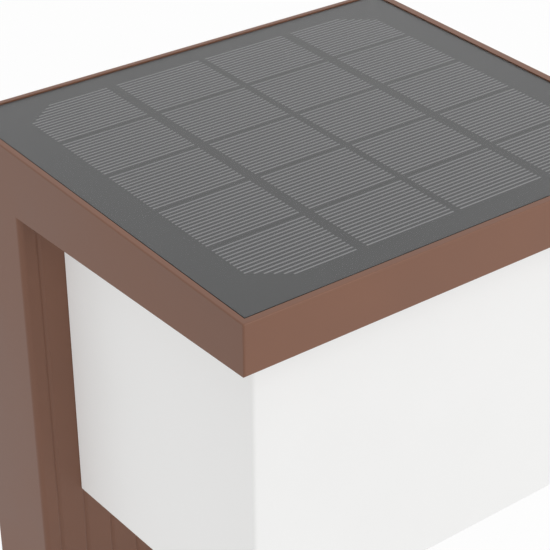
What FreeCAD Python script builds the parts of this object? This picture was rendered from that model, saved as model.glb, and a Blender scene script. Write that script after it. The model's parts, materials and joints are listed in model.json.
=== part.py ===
"""A solar fence light at its real size, in millimetres.

A brown shell has the shape of an upside-down L. Its roof is a tray for a solar panel, its rear
housing holds the battery and the control board, and an opal light box hangs under the roof. The lamp
hangs by two hooks on a steel bracket that is screwed to a fence.

+X is the lamp's right as seen from the front, +Y points into the fence and +Z up. The origin is the
middle of the bracket's two screw holes, on the face of the fence.
"""
import FreeCAD, Part
import math
import os
import re
import Sketcher

DOC = FreeCAD.newDocument("fence_light")
Vector = FreeCAD.Vector

# ---------------------------------------------------------------- driving dimensions

SIZES = {
    # whole lamp
    "body_width": 150,
    "body_depth": 128,
    "body_height": 165,
    "fascia_front": 14,
    "fascia_rear": 20.5,
    "housing_depth": 29,
    # shell
    "side_wall": 3,
    "front_wall": 2.5,
    "roof_floor": 3,
    "skirt_wall": 1.2,
    "rim_side": 2.2,
    "rim_front": 2,
    "rim_rear": 1.7,
    "tray_shift": -0.4,
    "ledge_width": 2,
    "beam_depth": 9.5,
    "cover_drop": 10.5,
    "housing_round": 1.5,
    "edge_round": 0.5,
    "rim_round": 0.4,
    "flute_margin": 4.5,
    "flute_pitch": 8.7,
    "flute_width": 1.7,
    "flute_depth": 0.4,
    "rib_thick": 1.6,
    "rib_spacing": 48,
    "rib_end_gap": 6,
    # solar panel
    "lip_gap": 0.25,
    "bearing_gap": 0.05,
    "panel_drop_front": 0.05,
    "panel_drop_rear": 0.1,
    "clear_thick": 0.3,
    "cell_thick": 0.25,
    "backing_thick": 1.6,
    "tape_thick": 0.8,
    "tape_width": 1.5,
    "lip_thick": 0.2,
    "lip_rise": 0.05,
    "cell_length": 28.4,
    "cell_depth": 20.4,
    "side_column_gap": 3.2,
    "middle_column_gap": 2.2,
    "row_gap": 1.65,
    "row_count": 5,
    "cell_shift": 0.4,
    "corner_cut_length": 10,
    "corner_cut_depth": 7.4,
    # opal light box
    "box_side_inset": 13.1,
    "box_front_inset": 14.3,
    "box_height": 94.3,
    "box_wall": 2,
    "box_gap": 0.3,
    "box_round": 1,
    "box_tongue": 0.4,
    "box_slot_depth": 1.2,
    "box_slot_gap": 0.2,
    "post_size": 8,
    "post_height": 14,
    "post_merge": 0.5,
    # light sources
    "led_board_length": 80,
    "led_board_depth": 50,
    "led_board_thick": 1.6,
    "led_board_hole_inset": 5,
    "led_length": 3.5,
    "led_depth": 2.8,
    "led_height": 0.8,
    "led_columns": 4,
    "led_rows": 3,
    "led_pitch_across": 18,
    "led_pitch_along": 16,
    "sheet_thick": 0.5,
    "sheet_gap": 1,
    "sheet_window_gap": 0.8,
    "led_boss_radius": 2.5,
    "led_boss_end": 1,
    "led_lead_place": 14,
    "led_lead_setback": 22,
    "grommet_radius": 4,
    "grommet_flange": 1.2,
    "grommet_bore": 2.3,
    # rear cover
    "cover_thick": 2,
    "cover_gap": 0.3,
    "cover_setback": 4.3,
    "rear_seal_thick": 0.8,
    "rear_seal_gap": 0.25,
    "boss_radius": 3.2,
    "boss_inset": 6,
    "boss_middle_drop": 88,
    "boss_top_drop": 18,
    # bracket and hooks
    "bracket_width": 100,
    "bracket_height": 50,
    "bracket_sheet": 1.5,
    "bracket_standoff": 4,
    "bracket_foot": 14,
    "bracket_slant": 3,
    "fence_hole_radius": 2.5,
    "fence_hole_spacing": 84,
    "hook_width": 12,
    "hook_spacing": 40,
    "hook_rise": 5,
    "hook_reach": 5,
    "hook_lip": 1.6,
    "hook_gap": 0.3,
    "hook_side_gap": 1,
    "hook_level": -2,
    "lift_travel": 5.5,
    "lift_spare": 1.2,
    # battery
    "cell_radius": 9.2,
    "cell_long": 65.2,
    "nub_radius": 2.8,
    "nub_height": 1,
    "battery_level": -38,
    "cradle_floor": 1.2,
    "cradle_gap": 0.2,
    "cradle_wall": 1.6,
    "cradle_end_rise": 17,
    "ear_length": 9,
    "ear_thick": 1.5,
    "ear_rise": 5.3,
    "ear_width": 10,
    "contact_thick": 0.5,
    "contact_width": 9,
    "contact_tab": 7,
    "contact_tab_width": 3,
    "coil_length": 5.5,
    "coil_radius": 3.4,
    "coil_wire": 0.4,
    "coil_turns": 3,
    # control board
    "board_length": 56,
    "board_rise": 36,
    "board_thick": 1.6,
    "board_level": 22,
    "board_hole_inset": 4,
    "standoff_height": 5,
    "standoff_radius": 2.5,
    "socket_length": 5.8,
    "socket_rise": 4.6,
    "socket_depth": 5.5,
    "socket_spacing": 28,
    "socket_inset": 0.5,
    "notch_length": 2.4,
    "notch_rise": 2,
    "notch_depth": 1,
    "chip_length": 5,
    "chip_rise": 4,
    "chip_thick": 1.5,
    "chip_lift": 0.2,
    "leg_pitch": 1.27,
    "leg_width": 0.4,
    "leg_reach": 1,
    "leg_thick": 0.8,
    "inductor_place": 12,
    "inductor_radius": 3.2,
    "inductor_core_radius": 2.4,
    "inductor_flange": 1,
    "inductor_core": 2.5,
    "capacitor_place": 13,
    "capacitor_radius": 3.15,
    "capacitor_length": 8.5,
    # wires, each with a straight run at both of its ends
    "lead_radius": 0.65,
    "lead_spacing": 1.8,
    "lead_gap": 0.05,
    "panel_lead_place": 14,
    "panel_lead_run": 6,
    "panel_lead_entry": 2,
    "led_lead_run": 6,
    "led_lead_entry": 3,
    "battery_lead_run": 6,
    "socket_lead_run": 9,
    "switch_lead_run": 14,
    "switch_lead_rise": 40,
    "switch_socket_run": 12,
    # push button and its switch
    "button_side_inset": 23,
    "button_recess_radius": 6.5,
    "button_recess_depth": 1.2,
    "button_radius": 4.4,
    "button_gap": 0.1,
    "button_inset": 0.2,
    "button_flange_radius": 5.4,
    "button_flange": 0.8,
    "button_travel": 1.2,
    "ring_radius": 0.5,
    "stem_radius": 2,
    "stem_length": 5.5,
    "stem_tip_radius": 1.1,
    "stem_tip_length": 2,
    "stem_gap": 0.3,
    "switch_length": 12,
    "switch_width": 10,
    "switch_roof": 1.6,
    "switch_clear": 0.5,
    "spring_length": 5.6,
    "spring_gap": 0.05,
    "spring_wire": 0.2,
    "spring_turns": 5,
    "switch_board_length": 26,
    "switch_board_width": 12,
    "switch_board_thick": 1.2,
    "post_radius": 2.5,
    "post_spacing": 19,
    # fasteners: every screw runs in a hole that is wider by the screw gap
    "large_screw": 1.45,
    "small_screw": 1.05,
    "screw_gap": 0.05,
    "clearance_hole": 0.35,
    "head_ratio": 1.9,
    "head_height": 1.6,
    "long_screw_reach": 10,
    "short_screw_reach": 4,
    "screw_end_gap": 1,
    # how far a cut runs past the face that it starts from, and past the top of a hollow
    "cut_start": 0.01,
    "cut_over": 1,
}

# Places and derived sizes, each in the words of the sheet above.
PLACES = {
    "half_width": "body_width / 2",
    "top_level": "body_height / 2",
    "base_level": "-body_height / 2",
    "roof_under": "top_level - fascia_rear",
    "floor_top": "roof_under + roof_floor",
    "front_face": "-body_depth",
    "housing_face": "-housing_depth",
    "housing_inner": "front_wall - housing_depth",
    "inner_half": "half_width - side_wall",
    "inner_base": "base_level + side_wall",
    "opening_half": "half_width - skirt_wall",
    "opening_base": "base_level + skirt_wall",
    "opening_top": "top_level - cover_drop",
    "inner_top": "opening_top + skirt_wall - side_wall",
    "flute_count": "floor((body_width - 2 * flute_margin) / flute_pitch) + 1",
    # panel: a tilted stack in the roof's tray
    "tray_half": "half_width - rim_side",
    "cavity_half": "tray_half - ledge_width",
    "tray_front": "rim_front - body_depth",
    "tray_rear": "-rim_rear",
    "panel_front": "tray_front + lip_gap",
    "panel_half": "tray_half - (lip_gap + bearing_gap) / 2",
    "panel_middle": "tray_shift + (lip_gap - bearing_gap) / 2",
    "panel_fall": "(fascia_rear - panel_drop_rear - fascia_front + panel_drop_front) / body_depth",
    "panel_tilt": "atan(panel_fall)",
    "panel_front_edge": "roof_under + fascia_front - panel_drop_front",
    "panel_front_level": "panel_front_edge + panel_fall * (panel_front + body_depth)",
    "laminate_thick": "clear_thick + cell_thick + backing_thick",
    "stack_thick": "laminate_thick + tape_thick",
    "panel_rear": "tray_rear - bearing_gap - stack_thick * sin(panel_tilt)",
    "panel_depth": "(panel_rear - panel_front) / cos(panel_tilt)",
    "cell_row_pitch": "cell_depth + row_gap",
    "cell_field_depth": "row_count * cell_row_pitch - row_gap",
    # opal box
    "box_half": "half_width - box_side_inset",
    "box_front": "box_front_inset - body_depth",
    "box_rear": "housing_face - box_gap",
    "box_middle": "(box_front + box_rear) / 2",
    "box_top": "roof_under + box_tongue",
    "box_base": "roof_under - box_height",
    "post_across": "box_half - box_wall - post_size / 2 + post_merge",
    "post_front": "box_front + box_wall + post_size / 2 - post_merge",
    "post_rear": "box_rear - box_wall - post_size / 2 + post_merge",
    "led_hole_across": "led_board_length / 2 - led_board_hole_inset",
    "led_hole_along": "led_board_depth / 2 - led_board_hole_inset",
    "led_board_base": "roof_under - led_board_thick",
    "led_boss_height": "short_screw_reach + screw_end_gap + led_boss_end - roof_floor",
    "led_lead_row": "box_middle + led_lead_setback",
    "sheet_half": "box_half - box_wall - sheet_gap",
    # rear cover, its seal and its bosses
    "cover_outer": "-cover_setback",
    "cover_inner": "-cover_setback - cover_thick",
    "seat_face": "-cover_setback - cover_thick - rear_seal_thick",
    "boss_across": "half_width - boss_inset",
    "boss_low": "base_level + boss_inset",
    "boss_middle": "top_level - boss_middle_drop",
    "boss_high": "top_level - boss_top_drop",
    # hooks and bracket: the stem stands just clear of its window's lower edge
    "stem_low": "hook_level + hook_gap",
    "lip_rear": "bracket_sheet - bracket_standoff + hook_gap + hook_lip",
    "lip_low": "stem_low - hook_reach",
    "window_top": "stem_low + hook_rise + lift_travel + lift_spare",
    "window_half": "hook_width / 2 + hook_side_gap",
    "bend_angle": "atan((bracket_standoff - bracket_sheet) / bracket_slant)",
    "bend_shift": "bracket_sheet * tan(bend_angle / 2)",
    # battery
    "cradle_floor_top": "housing_inner + cradle_floor",
    "cell_row": "cradle_floor_top + cradle_gap + cell_radius",
    "cell_minus": "-cell_long / 2",
    "cell_plus": "cell_long / 2",
    "cradle_left": "cell_minus - coil_length - contact_thick",
    "cradle_right": "cell_plus + contact_thick",
    "cradle_half": "cell_radius + cradle_gap + cradle_wall",
    "cradle_side_rise": "cell_radius - contact_tab_width / 2",
    "ear_left": "cradle_left - cradle_wall - ear_length / 2",
    "ear_right": "cradle_right + cradle_wall + ear_length / 2",
    "ear_seat": "housing_inner + ear_rise",
    # control board
    "board_seat": "housing_inner + standoff_height",
    "board_face": "board_seat + board_thick",
    "board_hole_across": "board_length / 2 - board_hole_inset",
    "board_hole_rise": "board_rise / 2 - board_hole_inset",
    "socket_level": "board_rise / 2 - socket_inset - socket_rise / 2",
    "lead_row": "board_face + socket_depth / 2",
    # push button, upwards from its cap
    "button_place": "half_width - button_side_inset",
    "button_row": "(housing_inner + cover_inner) / 2",
    "cap_low": "base_level + button_inset",
    "flange_low": "inner_base + button_gap",
    "flange_top": "flange_low + button_flange",
    "stem_top": "flange_top + stem_length",
    "ring_level": "(base_level + button_recess_depth + inner_base) / 2",
    "switch_low": "flange_top + button_travel + switch_clear",
    "chamber_top": "stem_top + spring_length",
    "switch_top": "chamber_top + switch_roof",
    "tight_hole_large": "large_screw + screw_gap",
    "tight_hole_small": "small_screw + screw_gap",
}

# ---------------------------------------------------------------- sheet and expressions

SHEET = DOC.addObject("Spreadsheet::Sheet", "sizes")
for row, (word, number) in enumerate(SIZES.items(), start=1):
    SHEET.set(f"A{row}", word.replace("_", " "))
    SHEET.set(f"B{row}", str(number))
    SHEET.setAlias(f"B{row}", word)
DOC.recompute()


def full(words):
    """Writes an expression in the words of SIZES and PLACES out as one on the sheet's cells."""
    def spell(match):
        word = match.group(0)
        if word in PLACES:
            return f"({full(PLACES[word])})"
        return f"sizes.{word}" if word in SIZES else word
    return re.sub(r"[a-z_]+", spell, words)


def size(words):
    """The value of such an expression now, in millimetres or degrees."""
    value = SHEET.evalExpression(full(words))
    return float(getattr(value, "Value", value))


def bind(thing, **expressions):
    """Binds properties to the sheet; a double underscore stands for a dot in a property's path."""
    for path, words in expressions.items():
        thing.setExpression(path.replace("__", "."), full(words))


# ---------------------------------------------------------------- bodies, sketches and features

def new_body(label):
    body = DOC.addObject("PartDesign::Body", label)
    body.Label = label
    return body


def sketch_on(body, role, level="0"):
    """An empty sketch on one of the body's own origin planes, raised along that plane's normal.

    The normals are +Z for XY_Plane, -Y for XZ_Plane and +X for YZ_Plane.
    """
    plane = next(part for part in body.Origin.OriginFeatures if part.Role == role)
    sketch = body.newObject("Sketcher::SketchObject", body.Name + "_sketch")
    sketch.AttachmentSupport = [(plane, "")]
    sketch.MapMode = "FlatFace"
    bind(sketch, AttachmentOffset__Base__z=level)
    return sketch


def draw_outline(sketch, corners):
    """A closed outline through corners, each a pair of expressions."""
    first = sketch.GeometryCount
    places = [Vector(size(across), size(up), 0) for across, up in corners]
    for number, place in enumerate(places):
        sketch.addGeometry(Part.LineSegment(place, places[(number + 1) % len(places)]), False)
    for number, (across, up) in enumerate(corners):
        line = first + number
        following = first + (number + 1) % len(corners)
        sketch.addConstraint(Sketcher.Constraint("Coincident", line, 2, following, 1))
        for kind, words in (("DistanceX", across), ("DistanceY", up)):
            held = sketch.addConstraint(Sketcher.Constraint(kind, line, 1, size(words)))
            sketch.setExpression(f"Constraints[{held}]", full(words))


def draw_rectangle(sketch, left, right, low, high):
    draw_outline(sketch, [(left, low), (right, low), (right, high), (left, high)])


def draw_circle(sketch, across, up, radius):
    centre = Vector(size(across), size(up), 0)
    circle = sketch.addGeometry(Part.Circle(centre, Vector(0, 0, 1), size(radius)), False)
    for kind, words in (("DistanceX", across), ("DistanceY", up)):
        held = sketch.addConstraint(Sketcher.Constraint(kind, circle, 3, size(words)))
        sketch.setExpression(f"Constraints[{held}]", full(words))
    held = sketch.addConstraint(Sketcher.Constraint("Radius", circle, size(radius)))
    sketch.setExpression(f"Constraints[{held}]", full(radius))


def volume_of(body):
    return body.Shape.Volume if body.Tip else 0


def extrude(body, kind, sketch, length, both, against):
    before = volume_of(body)
    feature = body.newObject(kind, body.Name + "_step")
    feature.Profile = sketch
    feature.SideType = "Symmetric" if both else "One side"
    feature.Reversed = against
    bind(feature, Length=length)
    DOC.recompute()
    if abs(body.Shape.Volume - before) < 1e-4:
        raise RuntimeError(f"a step of {body.Label} changes nothing")
    return feature


def pad(body, sketch, length, both=False, against=False):
    """Adds material along the sketch's normal, or against it, or to both sides."""
    return extrude(body, "PartDesign::Pad", sketch, length, both, against)


def pocket(body, sketch, length, both=False, against=False):
    """Removes material along the sketch's normal, or against it, or on both sides."""
    return extrude(body, "PartDesign::Pocket", sketch, length, both, not against)


def round_edges(body, radius, chosen):
    """Rounds every edge of the body whose middle and direction pass the test chosen."""
    names = []
    for number, edge in enumerate(body.Shape.Edges, start=1):
        if len(edge.Vertexes) == 2:
            start, end = (vertex.Point for vertex in edge.Vertexes)
            if chosen((start + end) * 0.5, (end - start).normalize()):
                names.append(f"Edge{number}")
    if not names:
        raise RuntimeError(f"{body.Label} has no edge to round")
    solid = body.Tip
    fillet = body.newObject("PartDesign::Fillet", body.Name + "_round")
    fillet.Base = (solid, names)
    bind(fillet, Radius=radius)
    DOC.recompute()
    if "Invalid" in fillet.State:
        raise RuntimeError(f"a round of {body.Label} failed")


def near(value, target):
    return abs(value - target) < 0.05


def rectangle_pad(label, role, level, length, left, right, low, high):
    """A new body that is one rectangle padded along the plane's normal."""
    body = new_body(label)
    sketch = sketch_on(body, role, level)
    draw_rectangle(sketch, left, right, low, high)
    pad(body, sketch, length)
    return body


def circles_pocket(body, role, level, length, places, radius, against=False):
    sketch = sketch_on(body, role, level)
    for across, up in places:
        draw_circle(sketch, across, up, radius)
    pocket(body, sketch, length, against=against)


def circles_pad(body, role, level, length, places, radius):
    sketch = sketch_on(body, role, level)
    for across, up in places:
        draw_circle(sketch, across, up, radius)
    pad(body, sketch, length)


def both_sides(across, *levels):
    """Pairs of expressions at plus and minus across, for every level given."""
    return [(f"{sign}({across})", level) for level in levels for sign in ("", "-")]


def cover_screw_places():
    return both_sides("boss_across", "boss_low", "boss_middle", "boss_high")


def board_screw_places():
    return both_sides("board_hole_across", "board_level - board_hole_rise", "board_level + board_hole_rise")


def led_screw_places():
    return both_sides("led_hole_across", "box_middle - led_hole_along", "box_middle + led_hole_along")


def post_places():
    """The four posts of the opal box."""
    return both_sides("post_across", "post_front", "post_rear")


def ear_screw_places():
    return [("ear_left", "battery_level"), ("ear_right", "battery_level")]


def switch_screw_places():
    return [(f"button_place {sign} post_spacing / 2", "button_row") for sign in ("-", "+")]


def turned(label, role, across, up, discs):
    """A new body of coaxial discs, each given as (start, length, radius) along the plane's normal."""
    body = new_body(label)
    for start, length, radius in discs:
        circles_pad(body, role, start, length, [(across, up)], radius)
    return body


# ---------------------------------------------------------------- free shapes, for groups and wires

def feature(label, shape):
    """A sub-part whose shape is worked out here from the sheet's values."""
    thing = DOC.addObject("Part::Feature", label)
    thing.Label = label
    thing.Shape = shape
    thing.Placement = FreeCAD.Placement()
    return thing


def block(low, high):
    low, high = Vector(*low), Vector(*high)
    extent = high - low
    return Part.makeBox(extent.x, extent.y, extent.z, low)


# Shares of a screw head's height, its radius and its shank's radius.
HEAD_ROUND = 0.4
RECESS_LENGTH = 1.1
RECESS_WIDTH = 0.5
RECESS_DEPTH = 0.5
# The share of the shorter run beside a bend that the bend takes up.
BEND_SHARE = 0.45


def screw_shape(point, direction, radius, reach):
    """A pan head on the point and a shank along the direction, with a cross recess in the head."""
    head_radius = radius * size("head_ratio")
    head_height = size("head_height")
    backwards = direction * -1
    shank = Part.makeCylinder(radius, reach, point, direction)
    head = Part.makeCylinder(head_radius, head_height, point, backwards)
    head = head.makeFillet(head_height * HEAD_ROUND, [head.Edges[0]])
    length, width, depth = head_radius * RECESS_LENGTH, radius * RECESS_WIDTH, head_height * RECESS_DEPTH
    bar = block((-length / 2, -width / 2, 0), (length / 2, width / 2, depth))
    crossing = block((-width / 2, -length / 2, 0), (width / 2, length / 2, depth))
    cross = bar.fuse(crossing)
    cross.Placement = FreeCAD.Placement(
        point + backwards * (head_height - depth), FreeCAD.Rotation(Vector(0, 0, 1), backwards))
    return shank.fuse(head).cut(cross).removeSplitter()


def screws(label, places, direction, radius, reach):
    return feature(label, Part.Compound(
        [screw_shape(Vector(*place), Vector(*direction), size(radius), size(reach)) for place in places]))


def tube(points, radius):
    """A round tube along straight runs joined by tangent arcs.

    Each arc takes nearly half of the shorter run beside it, which gives it the largest fair radius.
    """
    edges = []
    here = points[0]
    for before, corner, after in zip(points, points[1:], points[2:]):
        inward = (before - corner)
        outward = (after - corner)
        cut = BEND_SHARE * min(inward.Length, outward.Length)
        half_turn = (math.pi - inward.getAngle(outward)) / 2
        inward.normalize()
        outward.normalize()
        bend = cut / math.tan(half_turn)
        bisector = (inward + outward).normalize()
        middle = corner + bisector * (bend / math.cos(half_turn) - bend)
        start, end = corner + inward * cut, corner + outward * cut
        edges += [Part.LineSegment(here, start).toShape(), Part.Arc(start, middle, end).toShape()]
        here = end
    edges.append(Part.LineSegment(here, points[-1]).toShape())
    path = Part.Wire(edges)
    ring = Part.Wire(Part.makeCircle(radius, points[0], points[1] - points[0]))
    shape = path.makePipeShell([ring], True, False)
    expected = math.pi * radius ** 2 * path.Length
    if abs(shape.Volume / expected - 1) > 0.02:
        raise RuntimeError("a tube's volume is not its section times its length")
    return shape


def lead_pair(label, centre_line):
    """Two insulated wires side by side along X, with ends on the pieces that they join."""
    radius, offset = size("lead_radius"), size("lead_spacing") / 2
    sides = [Vector(-offset, 0, 0), Vector(offset, 0, 0)]
    return feature(label, Part.Compound(
        [tube([Vector(*point) + side for point in centre_line], radius) for side in sides]))


def coil(foot, axis, side, mean_radius, wire, turns, length):
    """A spring of half-turn arcs, each tilted so that it climbs half a pitch.

    The arcs meet with one tangent, square to the axis, so the wire is one smooth tube.
    """
    rise = (length - 2 * wire) / (2 * turns)
    outward = axis.cross(side)
    edges = []
    for number in range(2 * turns):
        sign = 1 if number % 2 == 0 else -1
        start = foot + axis * (wire + number * rise) + side * (sign * mean_radius)
        end = foot + axis * (wire + (number + 1) * rise) - side * (sign * mean_radius)
        reach = (end - start).Length / 2
        middle = (start + end) * 0.5 + outward * (sign * reach)
        edges.append(Part.Arc(start, middle, end).toShape())
    ring = Part.Wire(Part.makeCircle(wire, foot + axis * wire + side * mean_radius, outward))
    shape = Part.Wire(edges).makePipeShell([ring], True, False)
    print(f"coil: pitch {2 * rise:.2f}, gap between turns {2 * rise - 2 * wire:.2f}")
    return shape


# ---------------------------------------------------------------- shell

def main_body():
    """Roof tray and rear housing, one moulding."""
    body = rectangle_pad("main_body", "XY_Plane", "base_level", "roof_under - base_level",
                         "-half_width", "half_width", "housing_face", "0")
    round_housing(body)
    roof = sketch_on(body, "YZ_Plane")
    draw_outline(roof, [
        ("0", "roof_under"), ("front_face", "roof_under"),
        ("front_face", "roof_under + fascia_front"), ("0", "top_level")])
    pad(body, roof, "body_width", both=True)
    round_roof(body)
    cut_flutes(body)
    hollow_roof(body)
    hollow_housing(body)
    add_bosses(body)
    fit_roof_floor(body)
    fit_button_hole(body)
    return body


def round_housing(body):
    """Wide rounds on the two upright front edges, small ones round the foot."""
    face, low = size("housing_face"), size("base_level")
    round_edges(body, "housing_round", lambda middle, along: near(middle.y, face) and abs(along.z) > 0.99)
    round_edges(body, "edge_round", lambda middle, along: near(middle.z, low) and middle.y < -0.1)


def round_roof(body):
    """Small rounds on the fascia and on the roof's upper outline."""
    front, under = size("front_face"), size("roof_under")
    round_edges(body, "edge_round", lambda middle, along: (
        near(middle.y, front) and (near(middle.z, under) or abs(along.z) > 0.99)))
    round_edges(body, "rim_round", lambda middle, along: (
        middle.z > under + 5 and abs(along.z) < 0.5))


def cut_flutes(body):
    """Fine V-shaped flutes down the housing's front face, evenly spaced about the middle."""
    sketch = sketch_on(body, "XY_Plane", "base_level")
    first = "-flute_pitch * (flute_count - 1) / 2"
    draw_outline(sketch, [
        (f"{first} - flute_width / 2", "housing_face - cut_start"),
        (f"{first} + flute_width / 2", "housing_face - cut_start"),
        (first, "housing_face + flute_depth")])
    flute = pocket(body, sketch, "roof_under - base_level")
    pattern = body.newObject("PartDesign::LinearPattern", "flutes")
    pattern.Originals = [flute]
    axis = next(part for part in body.Origin.OriginFeatures if part.Role == "X_Axis")
    pattern.Direction = (axis, [""])
    bind(pattern, Length="flute_pitch * (flute_count - 1)", Occurrences="flute_count")
    body.Tip = pattern
    DOC.recompute()


def hollow_roof(body):
    """The tray that the panel lies in, and the space under it down to the roof's floor."""
    tray = sketch_on(body, "YZ_Plane", "tray_shift")
    seat = "panel_front_level - stack_thick / cos(panel_tilt) + panel_fall"
    draw_outline(tray, [
        ("tray_front", f"{seat} * (tray_front - panel_front)"),
        ("tray_rear", f"{seat} * (tray_rear - panel_front)"),
        ("tray_rear", "top_level + cut_over"), ("tray_front", "top_level + cut_over")])
    pocket(body, tray, "2 * tray_half", both=True)
    cavity = sketch_on(body, "YZ_Plane")
    draw_rectangle(cavity, "tray_front + ledge_width", "-beam_depth", "floor_top", "top_level + cut_over")
    pocket(body, cavity, "2 * cavity_half", both=True)


def hollow_housing(body):
    """A wide shallow opening for the rear cover, and the deeper space behind it."""
    opening = sketch_on(body, "XZ_Plane")
    draw_rectangle(opening, "-opening_half", "opening_half", "opening_base", "opening_top")
    pocket(body, opening, "-seat_face")
    inner = sketch_on(body, "XZ_Plane")
    draw_rectangle(inner, "-inner_half", "inner_half", "inner_base", "inner_top")
    pocket(body, inner, "-housing_inner")


def add_bosses(body):
    """Screw bosses: six for the cover, four for the control board, two each for cradle and switch."""
    cover = cover_screw_places()
    board = board_screw_places()
    cradle = ear_screw_places()
    posts = switch_screw_places()
    circles_pad(body, "XZ_Plane", "-cover_inner", "cover_inner - housing_inner", cover, "boss_radius")
    circles_pad(body, "XZ_Plane", "-board_seat", "standoff_height", board, "standoff_radius")
    circles_pad(body, "XZ_Plane", "-ear_seat", "ear_rise", cradle, "standoff_radius")
    circles_pad(body, "XY_Plane", "inner_base", "switch_top - inner_base", posts, "post_radius")
    circles_pocket(body, "XZ_Plane", "-cover_inner", "long_screw_reach + screw_end_gap", cover,
                   "tight_hole_large")
    circles_pocket(body, "XZ_Plane", "-board_seat", "standoff_height", board, "tight_hole_small")
    circles_pocket(body, "XZ_Plane", "-ear_seat", "ear_rise", cradle, "tight_hole_small")
    circles_pocket(body, "XY_Plane", "switch_top", "short_screw_reach + screw_end_gap", posts,
                   "tight_hole_small", against=True)


def fit_roof_floor(body):
    """Slot for the opal box, screw holes, bosses, the leads' hole and the ribs under the panel."""
    for sign in ("", "-"):
        rib = sketch_on(body, "YZ_Plane", f"{sign}rib_spacing / 2")
        top = "panel_front_level - laminate_thick / cos(panel_tilt) + panel_fall"
        rib_front = "tray_front + ledge_width + rib_end_gap"
        rib_rear = "housing_face - rib_end_gap"
        draw_outline(rib, [
            (rib_front, "floor_top"), (rib_rear, "floor_top"),
            (rib_rear, f"{top} * ({rib_rear} - panel_front)"),
            (rib_front, f"{top} * ({rib_front} - panel_front)")])
        pad(body, rib, "rib_thick", both=True)
    bosses = led_screw_places()
    circles_pad(body, "XY_Plane", "floor_top", "led_boss_height", bosses, "led_boss_radius")
    circles_pocket(body, "XY_Plane", "roof_under", "short_screw_reach + screw_end_gap", bosses,
                   "tight_hole_small")
    circles_pocket(body, "XY_Plane", "roof_under", "roof_floor", post_places(),
                   "large_screw + clearance_hole")
    circles_pocket(body, "XY_Plane", "roof_under", "roof_floor", [("led_lead_place", "led_lead_row")],
                   "grommet_radius")
    slot = sketch_on(body, "XY_Plane", "roof_under")
    outer, inner = "box_slot_gap", "-box_wall - box_slot_gap"
    for grow in (outer, inner):
        draw_rectangle(slot, f"-box_half - ({grow})", f"box_half + ({grow})",
                       f"box_front - ({grow})", f"box_rear + ({grow})")
    pocket(body, slot, "box_slot_depth")


def fit_button_hole(body):
    place = [("button_place", "button_row")]
    circles_pocket(body, "XY_Plane", "base_level", "button_recess_depth", place, "button_recess_radius")
    circles_pocket(body, "XY_Plane", "base_level", "side_wall", place, "button_radius + button_gap")


# ---------------------------------------------------------------- solar panel

def panel_box(label, depth, thick):
    """A plate of the panel's outline, its upper face at the given depth under the panel's face."""
    plate = DOC.addObject("Part::Box", label)
    plate.Label = label
    plate.Placement = FreeCAD.Placement(Vector(), FreeCAD.Rotation(Vector(1, 0, 0), 1))
    bind(plate, Length="2 * panel_half", Width="panel_depth", Height=thick,
         Placement__Rotation__Angle="panel_tilt",
         Placement__Base__x="panel_middle - panel_half",
         Placement__Base__y=f"panel_front + sin(panel_tilt) * ({depth} + {thick})",
         Placement__Base__z=f"panel_front_level - cos(panel_tilt) * ({depth} + {thick})")
    return plate


def panel_placement(depth):
    """Origin at the middle of the panel's front edge, at a depth under its face; Y runs up the slope."""
    tilt = math.radians(size("panel_tilt"))
    base = Vector(size("panel_middle"), size("panel_front") + math.sin(tilt) * depth,
                  size("panel_front_level") - math.cos(tilt) * depth)
    return FreeCAD.Placement(base, FreeCAD.Rotation(Vector(1, 0, 0), size("panel_tilt")))


def cell_outline(column, row):
    """Corners of one cell; the four at the field's outer corners have that corner cut off."""
    length, depth = size("cell_length"), size("cell_depth")
    inner = size("middle_column_gap") / 2
    outer = inner + length + size("side_column_gap")
    left = {0: -outer - length, 1: -inner - length, 2: inner, 3: outer}[column]
    margin = (size("panel_depth") - size("cell_field_depth")) / 2 + size("cell_shift")
    low = margin + row * size("cell_row_pitch")
    right, high = left + length, low + depth
    cut_x, cut_y = size("corner_cut_length"), size("corner_cut_depth")
    last = int(size("row_count")) - 1
    cut_at = {(0, 0): (left, low), (3, 0): (right, low), (3, last): (right, high), (0, last): (left, high)}
    corners = []
    for x, y in ((left, low), (right, low), (right, high), (left, high)):
        if cut_at.get((column, row)) != (x, y):
            corners.append(Vector(x, y, 0))
            continue
        inward_x = cut_x if x == left else -cut_x
        inward_y = cut_y if y == low else -cut_y
        pair = [Vector(x, y + inward_y, 0), Vector(x + inward_x, y, 0)]
        corners += pair if (x == left) == (y == low) else pair[::-1]
    return corners


def solar_panel():
    panel_box("solar_cover", "0", "clear_thick")
    panel_box("solar_board", "clear_thick + cell_thick", "backing_thick")
    thick = size("cell_thick")
    cells = []
    for column in range(4):
        for row in range(int(size("row_count"))):
            corners = cell_outline(column, row)
            face = Part.Face(Part.makePolygon(corners + corners[:1]))
            cells.append(face.extrude(Vector(0, 0, thick)))
    place = panel_placement(size("clear_thick") + thick)
    group = feature("solar_cells", Part.Compound(cells))
    group.Placement = place
    half, depth = size("panel_half"), size("panel_depth")
    film = feature("cell_film", block((-half, 0, 0), (half, depth, thick)).cut(cells))
    film.Placement = place


def panel_seal():
    """A tape frame under the backing board, with a thin lip that stands up along the front and one side."""
    half, depth, lip = size("panel_half"), size("panel_depth"), size("lip_thick")
    width, tape = size("tape_width"), size("tape_thick")
    stack, rise = size("stack_thick"), size("lip_rise")
    tape_frame = block((-half, 0, 0), (half, depth, tape)).cut(
        block((width - half, width, 0), (half - width, depth - width, tape)))
    lip_frame = block((-half - lip, -lip, 0), (half, depth, stack + rise)).cut(
        block((-half, 0, 0), (half, depth, stack + rise)))
    seal = feature("panel_seal", tape_frame.fuse(lip_frame).removeSplitter())
    seal.Placement = panel_placement(stack)


# ---------------------------------------------------------------- opal box and light sources

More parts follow.
